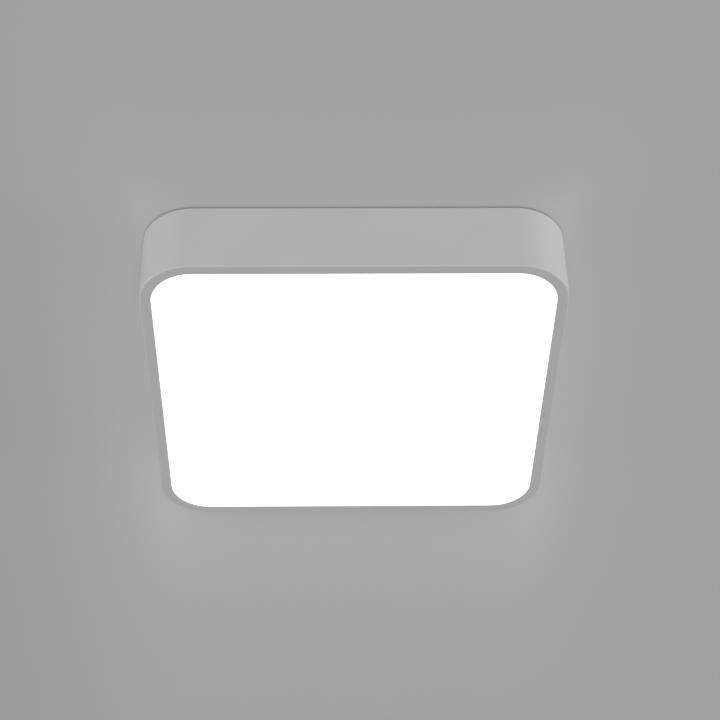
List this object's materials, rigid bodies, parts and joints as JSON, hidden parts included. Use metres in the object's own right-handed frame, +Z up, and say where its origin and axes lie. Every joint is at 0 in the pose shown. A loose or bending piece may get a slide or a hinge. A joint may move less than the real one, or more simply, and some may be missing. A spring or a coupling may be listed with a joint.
{
  "type": "flush mount ceiling light",
  "caption": "Square flush ceiling light with rounded corners: pull-down metal frame with an opal diffuser over LED strips, driver and lever terminal on a ceiling pan.",
  "frame": {"origin": "middle of the face that lies on the ceiling", "axes": "+Z up into the ceiling, -Y towards the viewer of the picture, +X to the viewer's right"},
  "size_m": [0.3, 0.3, 0.055],
  "materials": {
    "frame_paint": "satin powder coat",
    "opal_acrylic": "opal satin, lit from behind",
    "galvanised_sheet": "galvanised sheet",
    "black_rubber": "matte",
    "spring_steel": "bright spring steel",
    "zinc_plate": "zinc plated",
    "brass_plate": "plain brass",
    "tin_plate": "tin plated copper",
    "tray_paint": "gloss white coat",
    "strip_mask": "white solder mask on aluminium",
    "led_phosphor": "phosphor in silicone",
    "clear_lens": "clear acrylic",
    "white_nylon": "nylon",
    "white_wire": "white insulation",
    "driver_plastic": "fine grain",
    "board_green": "green solder mask",
    "ferrite_tape": "yellow tape on ferrite",
    "capacitor_sleeve": "dark sleeve",
    "terminal_grey": "grey polycarbonate",
    "lever_orange": "orange polycarbonate",
    "brown_wire": "brown insulation",
    "blue_wire": "blue insulation",
    "earth_wire": "green and yellow insulation"
  },
  "bodies": {
    "base": {"base_pan": "galvanised_sheet", "cable_grommet": "black_rubber", "catch_spring_1": "spring_steel", "catch_spring_2": "spring_steel", "catch_spring_3": "spring_steel", "catch_spring_4": "spring_steel", "catch_rivets": "zinc_plate", "earth_stud": "brass_plate", "earth_lug": "tin_plate", "earth_nut": "brass_plate", "gear_tray": "tray_paint", "tray_pillars": "zinc_plate", "tray_screws": "zinc_plate", "led_strip_1": "strip_mask", "led_chips_1": "led_phosphor", "led_lenses_1": "clear_lens", "led_strip_2": "strip_mask", "led_chips_2": "led_phosphor", "led_lenses_2": "clear_lens", "led_strip_3": "strip_mask", "led_chips_3": "led_phosphor", "led_lenses_3": "clear_lens", "led_strip_4": "strip_mask", "led_chips_4": "led_phosphor", "led_lenses_4": "clear_lens", "strip_rivets": "white_nylon", "strip_sockets": "white_nylon", "strip_links": "white_wire", "lead_bush": "black_rubber", "driver_case": "driver_plastic", "driver_lid": "driver_plastic", "driver_board": "board_green", "driver_transformer": "ferrite_tape", "driver_capacitors": "capacitor_sleeve", "driver_screws": "zinc_plate", "driver_input_plug": "white_nylon", "driver_output_plug": "white_nylon", "pole_earth": "terminal_grey", "pole_neutral": "terminal_grey", "pole_live": "terminal_grey", "terminal_screws": "zinc_plate", "live_wire": "brown_wire", "neutral_wire": "blue_wire", "earth_wire": "earth_wire", "led_lead": "white_wire"},
    "cover": {"frame_ring": "frame_paint", "diffuser": "opal_acrylic"},
    "lever_earth": {"lever_earth": "lever_orange"},
    "lever_neutral": {"lever_neutral": "lever_orange"},
    "lever_live": {"lever_live": "lever_orange"}
  },
  "joints": [
    {"name": "cover_drop", "type": "slide", "parent": "base", "child": "cover", "axis": [0, 0, -1], "range_m": [0, 0.06], "deforming": ["catch_spring_1", "catch_spring_2", "catch_spring_3", "catch_spring_4"]},
    {"name": "lever_earth_lift", "type": "hinge", "parent": "base", "child": "lever_earth", "pos_m": [0.0567, -0.0076, -0.0117], "axis": [0, -1, 0], "range_deg": [0, 90]},
    {"name": "lever_neutral_lift", "type": "hinge", "parent": "base", "child": "lever_neutral", "pos_m": [0.0567, 0, -0.0117], "axis": [0, -1, 0], "range_deg": [0, 90]},
    {"name": "lever_live_lift", "type": "hinge", "parent": "base", "child": "lever_live", "pos_m": [0.0567, 0.0076, -0.0117], "axis": [0, -1, 0], "range_deg": [0, 90]}
  ]
}
